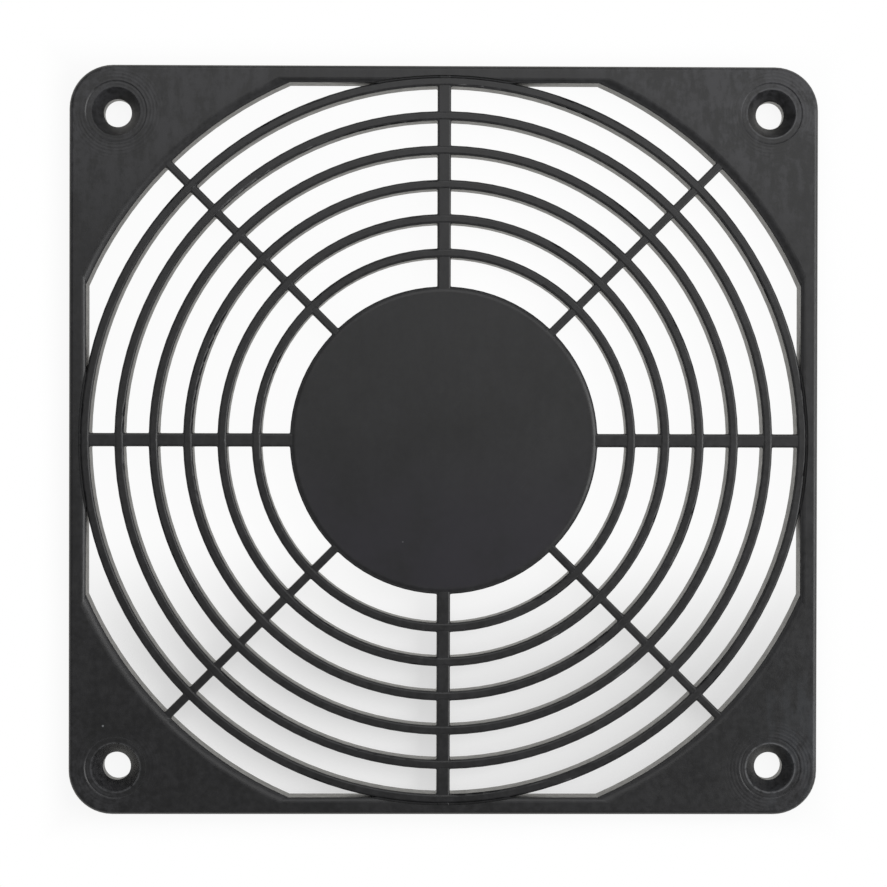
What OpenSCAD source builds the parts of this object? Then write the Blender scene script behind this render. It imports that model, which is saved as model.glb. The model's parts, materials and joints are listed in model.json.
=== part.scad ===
// Finger guard for a square case fan, moulded in one piece.
// It lies on its back: the back is on z = 0, the face looks up, and the centre is the origin.

/* [Frame] */
// Width and height of the square frame
frame_w = 120; // [99:0.5:145]
// Thickness of the frame, from its back to its face
frame_t = 5; // [4:0.1:8]
// Radius of the outside corners
corner_r = 7; // [3:0.5:9]
// Rounding of the face along the outside
edge_r = 0.7; // [0.2:0.1:1.2]
// Width of the rails along the four sides
rail_w = 2.7; // [2.2:0.1:5]

/* [Opening] */
// Radius that rounds the rails' face off towards the opening
rail_roll_r = 0.9; // [0.8:0.05:1.2]
// Width of that rounding, seen from the front
rail_roll_w = 0.8; // [0.2:0.05:0.9]
// Radius that rounds the corners' face off towards the opening
corner_roll_r = 1.7; // [1:0.1:2]
// Width of that rounding, seen from the front
corner_roll_w = 1.4; // [0.5:0.1:1.6]

/* [Screw holes] */
// Distance from the centre of a screw hole to the two sides beside it
hole_inset = 7.5; // [6:0.25:10]
// Diameter of the screw holes
hole_d = 4.5; // [3:0.1:5.5]
// Diameter of the shallow round seat in the face around each screw hole
seat_d = 10; // [8:0.1:12]
// Depth of the seats
seat_depth = 0.12; // [0.05:0.01:0.4]
// Width of the slope around a seat, seen from the front
seat_slope_w = 0.2; // [0.05:0.05:0.5]
// Diameter of the countersinks at the bottom of the seats
sink_d = 7.8; // [6:0.1:8.9]
// Depth of the countersinks below the seats
sink_depth = 2.5; // [0.5:0.1:3]

/* [Rings] */
// Number of rings between the disc and the frame
ring_count = 6; // [3:1:7]
// Width of a ring
ring_w = 1.5; // [1:0.05:2]
// How far the outermost ring runs into the rails
ring_bite = 1; // [0.5:0.1:1.6]
// How far the rings' tops lie below the face of the frame
ring_recess = 0.45; // [0.2:0.05:1]
// Height of the top layer that carries the rounding of the rings, the disc and the spokes
crown_h = 0.6; // [0.55:0.05:0.8]
// Rounding along the top of the rings
crown_r = 0.4; // [0.2:0.05:0.5]
// How far the back of the grille stands off the back of the frame
grille_back = 0.2; // [0.1:0.1:1.5]
// Gap between the outermost ring and the rail's face beside it
groove_w = 0.2; // [0.1:0.05:0.5]
// Depth of that gap below the ring's top
groove_depth = 0.2; // [0.1:0.05:0.4]
// Gap between the outermost ring and the corners
corner_gap = 4.15; // [2:0.05:5]

/* [Disc] */
// Diameter of the solid disc in the middle
disc_d = 49.4; // [30:0.2:60]
// Gap between the disc and the first ring
disc_gap = 4.6; // [2:0.1:8]
// Thickness of the disc
disc_t = 2.4; // [1.2:0.1:2.6]
// Radius that rounds the disc's face off towards its edge
disc_roll_r = 1.1; // [1.1:0.05:2]
// Width of that rounding, seen from the front
disc_roll_w = 0.9; // [0.3:0.05:0.9]
// Width of the rim behind the disc
disc_rim_w = 1.6; // [1:0.1:4]

/* [Spokes] */
// Width of the four spokes that run to the rails
main_spoke_w = 2.15; // [1.2:0.05:3]
// Width of the four spokes that run to the corners
diagonal_spoke_w = 1.35; // [1:0.05:3]
// Rounding along the top of the spokes
spoke_crown_r = 0.35; // [0.1:0.05:0.4]
// How far the spokes' tops lie below the rings' tops
spoke_drop = 0.12; // [0.05:0.01:0.15]
// Fillets where a spoke meets a ring, the disc or a corner
fillet_r = 0.25; // [0.1:0.05:0.6]

/* [Hidden] */
$fn = 96;
// How far joined shapes run into each other, and how far a cut runs past a face
lap = 0.1;
// How far a fillet's circle dips into the walls beside it, so that they cross and don't just touch
fillet_dip = 0.01;

half_w = frame_w / 2;
rail_in = half_w - rail_w;
hole_x = half_w - hole_inset;
disc_r = disc_d / 2;

// The outermost ring bites into the rails, and the rings share the way from it to the first one
reach_r = rail_in + ring_bite;
first_ring_r = disc_r + disc_gap;
ring_pitch = (reach_r - ring_w - first_ring_r) / (ring_count - 1);
opening_r = reach_r + corner_gap;

ring_top = frame_t - ring_recess;
groove_z = ring_top - groove_depth;
crown_z = ring_top - crown_h;
disc_back = ring_top - disc_t;

function ring_inside(k) = first_ring_r + (k - 1) * ring_pitch;
function ring_outside(k) = ring_inside(k) + ring_w;

// What a rounded edge loses: the corner outside a circle that touches both of its sides
module round_off(r) {
    difference() {
        square(r + lap);
        circle(r);
    }
}

// Section of the frame's outside edge, its outer side at x = corner_r
module edge_section() {
    difference() {
        square([corner_r, frame_t]);
        translate([corner_r - edge_r, frame_t - edge_r])
            round_off(edge_r);
    }
}

// Square plate with round corners and a rounded edge all around its face
module plate() {
    flat = half_w - corner_r;
    for (turn = [0 : 90 : 270])
        rotate(turn)
            translate([flat, flat]) {
                rotate_extrude(angle = 90)
                    edge_section();
                rotate([90, 0, 0])
                    linear_extrude(2 * flat)
                        edge_section();
            }
    translate([-flat, -flat])
        cube([2 * flat, 2 * flat, frame_t]);
}

// Section of the opening, from its middle out to its wall, with the wall's top rolled off
module mouth_section(wall, roll_r, roll_w) {
    translate([0, -lap])
        square([wall, frame_t + 2 * lap]);
    difference() {
        translate([wall - lap, frame_t - roll_r])
            square([roll_w + lap, roll_r + lap]);
        translate([wall + roll_w, frame_t - roll_r])
            circle(roll_r);
    }
}

// Straight channel as wide as the space between two rails
module channel() {
    for (turn = [0, 180])
        rotate(turn)
            rotate([90, 0, 0])
                linear_extrude(frame_w, center = true)
                    mouth_section(rail_in, rail_roll_r, rail_roll_w);
}

// The round opening, cut straight where it would reach past the rails
module mouth() {
    intersection() {
        rotate_extrude()
            mouth_section(opening_r, corner_roll_r, corner_roll_w);
        channel();
        rotate(90)
            channel();
    }
}

// A screw hole with its countersink, in a seat that the screw's head is flush with
module screw_hole() {
    seat_z = frame_t - seat_depth;
    translate([0, 0, -lap])
        cylinder(h = frame_t, d = hole_d);
    translate([0, 0, seat_z - sink_depth])
        cylinder(h = sink_depth, d1 = hole_d, d2 = sink_d);
    translate([0, 0, seat_z])
        cylinder(h = seat_depth, d1 = seat_d - 2 * seat_slope_w, d2 = seat_d);
}

module frame() {
    difference() {
        plate();
        mouth();
        // Seat that lets the outermost ring pass below the rails' face
        translate([0, 0, groove_z])
            cylinder(h = frame_t, r = reach_r + groove_w);
        for (x = [-hole_x, hole_x], y = [-hole_x, hole_x])
            translate([x, y])
                screw_hole();
    }
}

// Fillet between a spoke and a round wall, on the wall's outside (side = 1) or inside (side = -1)
module fillet(wall_r, side, spoke_w) {
    from_wall = fillet_r - fillet_dip;
    centre_r = wall_r + side * from_wall;
    y = spoke_w / 2 + from_wall;
    x = sqrt(centre_r * centre_r - y * y);
    in_wall = [x, y] * (wall_r - side * lap) / centre_r;
    in_spoke = spoke_w / 2 - lap;
    difference() {
        polygon([[x, y], [x, in_spoke], [in_wall.x, in_spoke], in_wall]);
        translate([x, y])
            circle(fillet_r);
    }
}

// One spoke as seen from the front, between two round walls, with its fillets
module spoke_plan(spoke_w, inner_wall, outer_wall) {
    translate([inner_wall - lap, -spoke_w / 2])
        square([outer_wall - inner_wall + 2 * lap, spoke_w]);
    for (flip = [0, 1])
        mirror([0, flip]) {
            fillet(inner_wall, 1, spoke_w);
            fillet(outer_wall, -1, spoke_w);
        }
}

// The eight windows between two round walls, as seen from the front
module windows(inner_wall, outer_wall) {
    difference() {
        circle(outer_wall);
        circle(inner_wall);
        for (turn = [0 : 90 : 270]) {
            rotate(turn)
                spoke_plan(main_spoke_w, inner_wall, outer_wall);
            rotate(turn + 45)
                spoke_plan(diagonal_spoke_w, inner_wall, outer_wall);
        }
    }
}

// The whole grille as seen from the front
module grille_plan() {
    difference() {
        circle(reach_r);
        windows(disc_r, ring_inside(1));
        for (k = [2 : ring_count])
            windows(ring_outside(k - 1), ring_inside(k));
    }
    for (turn = [45 : 90 : 315])
        rotate(turn)
            spoke_plan(diagonal_spoke_w, reach_r, opening_r);
}

// Flat strip with its two upper edges rounded, centred on x = 0 and standing on y = 0
module crown_section(width, height, round_r) {
    difference() {
        translate([-width / 2, 0])
            square([width, height]);
        for (flip = [0, 1])
            mirror([flip, 0])
                translate([width / 2 - round_r, height - round_r])
                    round_off(round_r);
    }
}

module spoke_crown(spoke_w, end_r) {
    start_r = disc_r - disc_roll_w;
    translate([start_r, 0])
        rotate([90, 0, 90])
            linear_extrude(end_r - start_r)
                crown_section(spoke_w, crown_h - spoke_drop, spoke_crown_r);
}

// Rounded top layer of the rings, the disc and the spokes
module crowns() {
    for (k = [1 : ring_count])
        rotate_extrude()
            translate([ring_inside(k) + ring_w / 2, 0])
                crown_section(ring_w, crown_h, crown_r);
    rotate_extrude()
        difference() {
            square([disc_r, crown_h]);
            translate([disc_r - disc_roll_w, crown_h - disc_roll_r])
                round_off(disc_roll_r);
        }
    for (turn = [0 : 90 : 270]) {
        rotate(turn)
            spoke_crown(main_spoke_w, reach_r + groove_w + lap);
        rotate(turn + 45)
            spoke_crown(diagonal_spoke_w, opening_r + corner_roll_w);
    }
}

module grille() {
    difference() {
        translate([0, 0, grille_back])
            linear_extrude(crown_z - grille_back)
                grille_plan();
        cylinder(h = disc_back, r = disc_r - disc_rim_w);
    }
    translate([0, 0, crown_z])
        crowns();
}

module fan_guard() {
    color([0.2, 0.2, 0.21])
        union() {
            frame();
            grille();
        }
}

fan_guard();
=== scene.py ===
import json
import math

import bpy
from mathutils import Matrix, Vector


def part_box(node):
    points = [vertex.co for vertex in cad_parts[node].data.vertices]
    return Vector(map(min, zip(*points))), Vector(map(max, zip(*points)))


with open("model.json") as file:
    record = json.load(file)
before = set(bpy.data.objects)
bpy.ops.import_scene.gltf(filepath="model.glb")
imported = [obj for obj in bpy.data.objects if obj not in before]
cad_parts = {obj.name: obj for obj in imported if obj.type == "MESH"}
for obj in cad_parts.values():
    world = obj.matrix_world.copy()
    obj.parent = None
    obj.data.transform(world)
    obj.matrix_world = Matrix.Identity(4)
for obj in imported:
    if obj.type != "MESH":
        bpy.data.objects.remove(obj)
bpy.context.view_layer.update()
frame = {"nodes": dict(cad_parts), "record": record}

guard = frame["nodes"]["fan_guard"]
low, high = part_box("fan_guard")
middle = (low + high) / 2
mm = 0.001
print("guard loaded,", len(guard.data.polygons), "faces")

# the camera and the lamps are placed in mm from the middle of the guard's face
face = Vector((middle.x, middle.y, high.z))

cameraSet = {
    "eye": (-5.5, 1.65, 415.0),
    "turn": 0.752,    # degrees to the right of straight down
    "tilt": -0.297,   # degrees up, towards +Y
    "roll": 0.123,    # degrees anticlockwise
    "lens": 105.17,
    "sensor": 36,
    "nearest": 0.01,  # m
}


def makeCamera(s):
    data = bpy.data.cameras.new("camera")
    data.sensor_width = s["sensor"]
    data.lens = s["lens"]
    data.clip_start = s["nearest"]
    camera = bpy.data.objects.new("camera", data)
    bpy.context.scene.collection.objects.link(camera)
    turned = Matrix.Rotation(-math.radians(s["turn"]), 4, "Y")
    tilted = Matrix.Rotation(math.radians(s["tilt"]), 4, "X")
    rolled = Matrix.Rotation(math.radians(s["roll"]), 4, "Z")
    eye = Matrix.Translation(face + Vector(s["eye"]) * mm)
    camera.matrix_world = eye @ turned @ tilted @ rolled
    bpy.context.scene.camera = camera


makeCamera(cameraSet)
print("camera made")


class Wire:
    # one socket, so that shader maths reads as sums
    def __init__(self, finish, socket):
        self.finish = finish
        self.socket = socket

    # another output of the same node
    def sibling(self, name):
        return Wire(self.finish, self.socket.node.outputs[name])

    def maths(self, operation, first, second):
        return self.finish.node("Math", {"operation": operation}, {0: first, 1: second})

    def __add__(self, other):
        return self.maths("ADD", self, other)

    def __radd__(self, other):
        return self.maths("ADD", other, self)

    def __sub__(self, other):
        return self.maths("SUBTRACT", self, other)

    def __rsub__(self, other):
        return self.maths("SUBTRACT", other, self)

    def __mul__(self, other):
        return self.maths("MULTIPLY", self, other)

    def __rmul__(self, other):
        return self.maths("MULTIPLY", other, self)

    def __truediv__(self, other):
        return self.maths("DIVIDE", self, other)


class Finish:
    # the node tree of a material or of the world
    def __init__(self, owner):
        owner.use_nodes = True
        self.owner = owner
        self.tree = owner.node_tree
        self.tree.nodes.clear()

    # settings are set before the sockets, because some of them change which sockets there are
    def node(self, kind, settings=None, values=None, out=0):
        made = self.tree.nodes.new("ShaderNode" + kind)
        for name, value in (settings or {}).items():
            setattr(made, name, value)
        for name, value in (values or {}).items():
            if isinstance(value, Wire):
                self.tree.links.new(value.socket, made.inputs[name])
            else:
                made.inputs[name].default_value = value
        if made.outputs:
            return Wire(self, made.outputs[out])

    def mix(self, share, first, second):
        return self.node("Mix", {"data_type": "RGBA"}, {0: share, 6: first, 7: second}, 2)

    def mixShader(self, share, first, second):
        return self.node("MixShader", None, {0: share, 1: first, 2: second})

    def largest(self, first, second):
        return self.node("Math", {"operation": "MAXIMUM"}, {0: first, 1: second})

    def vector(self, operation, first, second=(0, 0, 0)):
        return self.node("VectorMath", {"operation": operation}, {0: first, 1: second})

    def length(self, vector):
        return self.node("VectorMath", {"operation": "LENGTH"}, {0: vector}, "Value")

    def along(self, axis, vector):
        return self.node("SeparateXYZ", None, {0: vector}, axis)

    # where a point lies from the guard's middle
    def place(self):
        return self.vector("SUBTRACT", self.node("TexCoord", None, None, "Object"), middle)

    # 0 below the first limit, 1 above the second, smooth between
    def step(self, value, start, end):
        limits = {"Value": value, "From Min": start, "From Max": end}
        return self.node("MapRange", {"interpolation_type": "SMOOTHSTEP"}, limits)

    def noise(self, place, size, detail=2, rough=0.5, stretch=None):
        if stretch:
            place = self.vector("MULTIPLY", place, stretch)
        values = {"Vector": place, "Scale": 1 / (size * mm), "Detail": detail, "Roughness": rough}
        return self.node("TexNoise", None, values)

    # 1 for the named kind of ray
    def ray(self, kind):
        return self.node("LightPath", None, None, "Is " + kind + " Ray")

    # 1 where the camera sees a surface, directly, in a reflection or through glass
    def seen(self):
        return self.largest(self.ray("Camera"), self.largest(self.ray("Glossy"), self.ray("Transmission")))


floorSet = {
    "reach": 20.0,          # m
    "sides": 64,
    "below": 0.05,          # mm below the guard's back
    "white": (0.86, 0.86, 0.86, 1),
    "glow": (1.0, 0.985, 0.94, 1),    # what the gloss of the plastic reflects
    # how much of the shade shows through the guard's upper part, through its lower part and around it
    "shadow": 0.05,
    "lowShadow": 0.4,
    "aroundShadow": 0.1,
    # mm up from the guard's middle where the lower part's shade starts and where it is full
    "lowFrom": -14,
    "lowTo": -40,
    "fade": 6,              # mm over which the shade around the guard fades out
    "border": 1,            # mm from the guard's edge where the shade around it takes over
    "corner": (70, 73),     # the same at the round corners, mm from the middle
}


def makeShade(f, s):
    place = f.place()
    lower = 1 - f.step(f.along("Y", place), s["lowTo"] * mm, s["lowFrom"] * mm)
    inside = s["shadow"] + (s["lowShadow"] - s["shadow"]) * lower
    side = f.vector("ABSOLUTE", place)
    reach = f.largest(f.along("X", side), f.along("Y", side))
    edge = high.x - middle.x
    cornerStart, cornerEnd = (limit * mm for limit in s["corner"])
    pastSide = f.step(reach, edge - s["border"] * mm, edge)
    outside = f.largest(pastSide, f.step(f.length(place), cornerStart, cornerEnd))
    faded = f.step(reach, edge, edge + s["fade"] * mm)
    return inside * (1 - outside) + s["aroundShadow"] * outside * (1 - faded)


def makeFloor(s):
    level = low.z - s["below"] * mm
    angles = [math.tau * i / s["sides"] for i in range(s["sides"])]
    ring = [(math.cos(a) * s["reach"], math.sin(a) * s["reach"], level) for a in angles]
    mesh = bpy.data.meshes.new("floor")
    mesh.from_pydata(ring, [], [tuple(range(s["sides"]))])
    floor = bpy.data.objects.new("floor", mesh)
    bpy.context.scene.collection.objects.link(floor)

    f = Finish(bpy.data.materials.new("whiteFloor"))
    white = f.node("Emission", None, {"Color": (1, 1, 1, 1), "Strength": 1})
    lit = f.node("BsdfDiffuse", None, {"Color": (1, 1, 1, 1)})
    shaded = f.mixShader(makeShade(f, s), white, lit)
    glow = f.node("Emission", None, {"Color": s["glow"], "Strength": 1})
    diffuse = f.node("BsdfDiffuse", None, {"Color": s["white"]})
    surface = f.mixShader(f.seen(), diffuse, f.mixShader(f.ray("Camera"), glow, shaded))
    f.node("OutputMaterial", None, {"Surface": surface})
    mesh.materials.append(f.owner)


makeFloor(floorSet)
print("floor made")

worldSet = {
    "level": 0.29,
    "white": (12, 22),    # degrees up to which the white backdrop shows, and where it has gone
}
lampSet = {
    "top": {"from": (14, 200, 350), "size": 320, "watts": 0.46},
    "right": {"from": (390, 0, 325), "size": 350, "watts": 1.45},
}


def makeWorld(s):
    world = bpy.data.worlds.new("studio")
    bpy.context.scene.world = world
    f = Finish(world)
    upward = f.along("Z", f.node("TexCoord"))
    start, end = (math.sin(math.radians(angle)) for angle in s["white"])
    backdrop = f.seen() * (1 - f.step(upward, start, end))
    soft = f.node("Background", None, {"Color": (1, 1, 1, 1), "Strength": s["level"]})
    white = f.node("Background", None, {"Color": (1, 1, 1, 1), "Strength": 1})
    f.node("OutputWorld", None, {"Surface": f.mixShader(backdrop, soft, white)})


def makeLamp(name, s):
    data = bpy.data.lights.new(name, "AREA")
    data.size = s["size"] * mm
    data.energy = s["watts"]
    lamp = bpy.data.objects.new(name, data)
    bpy.context.scene.collection.objects.link(lamp)
    place = Vector(s["from"]) * mm
    lamp.location = face + place
    lamp.rotation_euler = place.to_track_quat("Z", "Y").to_euler()
    lamp.visible_camera = False


makeWorld(worldSet)
for name, settings in lampSet.items():
    makeLamp(name, settings)
bpy.context.scene.view_settings.view_transform = "Standard"
print("studio lit")

# sizes and distances are in mm, and a pair is where something starts and where it is full
plasticSet = {
    "black": (0.0078, 0.0078, 0.0084, 1),
    "worn": (0.0170, 0.0170, 0.0182, 1),
    "disc": (0.0145, 0.0130, 0.0185, 1),
    # a pale colour for rubbed wear, the cutter's rings and the paler slopes, and for the painted sheen on
    # the upper corners
    "rubAndSheen": (0.05, 0.05, 0.0555, 1),
    # the colour of the painted highlight on the countersink lips
    "lipHighlight": (0.17, 0.172, 0.18, 1),
    "scuff": (0.043, 0.048, 0.055, 1),
    "dust": (0.26, 0.27, 0.28, 1),
    # from the darkest to the palest plastic, and what each texture adds around its mean of 0.5
    "toneRange": (-0.55, 0.7),
    "tone": {"cloud": 1.1, "mottle": 1.9, "flow": 1.6, "grain": 0.6, "calmDisc": 0.6},
    "rough": {"plain": 0.41, "mottle": 0.3, "cloud": 0.1, "grain": 0.08, "calmDisc": 0.6,
              "slope": -0.04, "scratch": -0.08, "ring": -0.04, "speck": 0.3},
    "height": {"grain": 1, "calmGrain": 0.5, "mottle": 1.6, "calmMottle": 0.7,
               "ring": 1.2, "scratch": -0.5, "speck": 1},
    "ior": 1.5,
    # the texture of the mould
    "grain": 0.16,
    "mottle": 1.1,            # uneven gloss
    "flow": 1.6,              # width of the soft streaks that the plastic left as it ran
    "cloud": 11,
    "bump": 0.3,
    "bumpHeight": 0.02,
    "faceUp": (0.97, 0.999),  # upward part of the normal, from 0 on a wall to 1 on the face
    "slopeIn": (0.05, 0.5),
    "slopeOut": (0.8, 0.985),
    # the disc, as distances from the middle, and its tint, which grows towards its lower side
    "discEdge": (23.2, 24.4),
    "discTint": (-20, 4),
    "tintPatches": (0.1, 0.6),
    # the cutter's rings around each screw hole, as distances from its axis
    "ringPitch": 0.55,
    "ringWobble": 2.2,
    "ringsIn": (3.7, 4.3),
    "ringsOut": (5.2, 8.5),
    "ringPatches": (0.3, 0.6),
    # painted highlight on the lip of the countersinks, strongest at the lower right
    "lipIn": (3.72, 3.86),
    "lipOut": (3.98, 4.18),
    "lipHighlightSide": (-80, 90),
    "lipHighlightPatches": (0.32, 0.55),
    # the outer corners, as distances from the middle
    "corners": (71, 81),
    "cornerPatches": (0.38, 0.62),
    # the bluish scuffs at the right, and how far down they start
    "scuffSide": (46, 59),
    "scuffTop": (-48, -26),
    "scuffPatches": (0.4, 0.65),
    # painted sheen on the two upper corners, where the light falls, stronger on the right one
    "upperSheenOut": (62, 66),
    "upperSheenUp": (26, 50),
    "upperSheenRight": (-20, 40),
    "upperSheenPatches": (0.9, 1.12),
    # fine scratches in two directions, only where the face has been rubbed
    "scratch": 0.09,
    "scratches": ((38, (0.66, 0.76)), (-52, (0.68, 0.78))),    # degrees, and how rare they are
    "rubbed": 9,
    "rubbedPatches": (0.5, 0.68),
    # specks of dust
    "speckCell": 6,                 # spacing of the cells that may hold a speck
    "speckSize": (0.018, 0.04),     # as parts of a cell
    "speckChance": (0.86, 0.87),
    # how much of its own colour each kind of wear and each painted highlight shows
    "share": {"slope": 0.22, "lipHighlight": 0.6, "corner": 0.3, "scuff": 0.42, "upperSheen": 0.3, "rightSheen": 0.12,
              "ring": 0.14, "scratch": 0.16, "dust": 0.8},
}
holes = next(m for m in frame["record"]["mounts"] if m["name"] == "screw_holes")["dims"]
holePlace = (holes["spacing_x_mm"] / 2 * mm, holes["spacing_y_mm"] / 2 * mm, 0)


def makePlastic(s):
    f = Finish(bpy.data.materials.new("blackPlastic"))
    share = s["share"]
    place = f.place()
    x = f.along("X", place) / mm
    y = f.along("Y", place) / mm
    up = f.along("Z", f.node("TexCoord", None, None, "Normal"))
    level = f.vector("MULTIPLY", place, (1, 1, 0))
    radius = f.length(level) / mm
    hole = f.length(f.vector("SUBTRACT", f.vector("ABSOLUTE", level), holePlace)) / mm

    cloud = f.noise(place, s["cloud"], 3, 0.6)
    mottle = f.noise(place, s["mottle"], 4, 0.65)
    flow = f.noise(place, s["flow"], 3, 0.6, (1, 0.3, 1))
    grain = f.noise(place, s["grain"])
    onDisc = 1 - f.step(radius, *s["discEdge"])
    faceUp = f.step(up, *s["faceUp"])

    # rings that the cutter left in the mould
    wave = hole * (math.tau / s["ringPitch"]) + (mottle - 0.5) * s["ringWobble"]
    around = f.step(hole, *s["ringsIn"]) * (1 - f.step(hole, *s["ringsOut"]))
    rings = f.node("Math", {"operation": "SINE"}, {0: wave}) * around * f.step(cloud, *s["ringPatches"])

    lines = []
    for degrees, limits in s["scratches"]:
        values = {"Vector": place, "Angle": math.radians(degrees)}
        turned = f.node("VectorRotate", {"rotation_type": "Z_AXIS"}, values)
        lines.append(f.step(f.noise(turned, s["scratch"], 1, 0.4, (1, 0.02, 1)), *limits))
    rubbed = f.step(f.noise(place, s["rubbed"], 3, 0.55), *s["rubbedPatches"])
    scratch = f.largest(*lines) * rubbed * faceUp

    # worn places, a paler tone on the slopes, and painted highlights on the countersink lips and the upper
    # corners
    slope = f.step(up, *s["slopeIn"]) * (1 - f.step(up, *s["slopeOut"]))
    # painted highlight: a pale band on the countersink lips, in patches, strongest at the lower right
    lipHighlight = f.step(hole, *s["lipIn"]) * (1 - f.step(hole, *s["lipOut"]))
    lipHighlight = lipHighlight * f.step(mottle, *s["lipHighlightPatches"]) * f.step(x - y, *s["lipHighlightSide"])
    corner = f.step(radius, *s["corners"]) * f.step(mottle, *s["cornerPatches"])
    scuff = f.step(x, *s["scuffSide"]) * (1 - f.step(y, *s["scuffTop"])) * f.step(flow, *s["scuffPatches"])
    # painted sheen: the upper corners paler in patches, more on the right
    patchy = f.step(mottle * 0.6 + flow * 0.8 + cloud * 0.6, *s["upperSheenPatches"])
    upperSheen = f.step(radius, *s["upperSheenOut"]) * f.step(y, *s["upperSheenUp"]) * patchy
    upperSheenShare = share["upperSheen"] + share["rightSheen"] * f.step(x, *s["upperSheenRight"])

    # a few specks of dust
    cellValues = {"Vector": place, "Scale": 1 / (s["speckCell"] * mm), "Randomness": 1}
    cells = f.node("TexVoronoi", {"feature": "F1"}, cellValues)
    chance = f.along("X", cells.sibling("Color"))
    speck = (1 - f.step(cells, *s["speckSize"])) * f.step(chance, *s["speckChance"]) * faceUp

    t = s["tone"]
    uneven = ((mottle - 0.5) * t["mottle"] + (flow - 0.5) * t["flow"]) * (1 - onDisc * t["calmDisc"])
    tone = (cloud - 0.5) * t["cloud"] + uneven + (grain - 0.5) * t["grain"]
    colour = f.mix(f.step(tone, *s["toneRange"]), s["black"], s["worn"])
    tint = onDisc * (1 - f.step(y, *s["discTint"])) * f.step(cloud, *s["tintPatches"])
    colour = f.mix(tint, colour, s["disc"])
    colour = f.mix(slope * share["slope"] * mottle, colour, s["rubAndSheen"])
    colour = f.mix(lipHighlight * share["lipHighlight"], colour, s["lipHighlight"])
    colour = f.mix(corner * share["corner"], colour, s["rubAndSheen"])
    colour = f.mix(scuff * share["scuff"], colour, s["scuff"])
    # painted sheen on the upper corners
    colour = f.mix(upperSheen * upperSheenShare, colour, s["rubAndSheen"])
    colour = f.mix(f.step(rings, 0, 1) * share["ring"], colour, s["rubAndSheen"])
    colour = f.mix(scratch * share["scratch"], colour, s["rubAndSheen"])
    colour = f.mix(speck * share["dust"], colour, s["dust"])

    r = s["rough"]
    rough = r["plain"] + (mottle - 0.5) * r["mottle"] * (1 - onDisc * r["calmDisc"])
    rough = rough + (cloud - 0.5) * r["cloud"] + (grain - 0.5) * r["grain"]
    rough = rough + slope * r["slope"] + scratch * r["scratch"] + rings * r["ring"] + speck * r["speck"]
    h = s["height"]
    height = grain * h["grain"] * (1 - onDisc * h["calmGrain"])
    height = height + mottle * h["mottle"] * (1 - onDisc * h["calmMottle"])
    height = height + rings * h["ring"] + scratch * h["scratch"] + speck * h["speck"]
    bumpValues = {"Strength": s["bump"], "Distance": s["bumpHeight"] * mm, "Height": height}
    bump = f.node("Bump", None, bumpValues)
    plastic = {"Base Color": colour, "Roughness": rough, "IOR": s["ior"], "Normal": bump}
    f.node("OutputMaterial", None, {"Surface": f.node("BsdfPrincipled", None, plastic)})
    return f.owner


guard.data.materials.clear()
guard.data.materials.append(makePlastic(plasticSet))
print("plastic made")
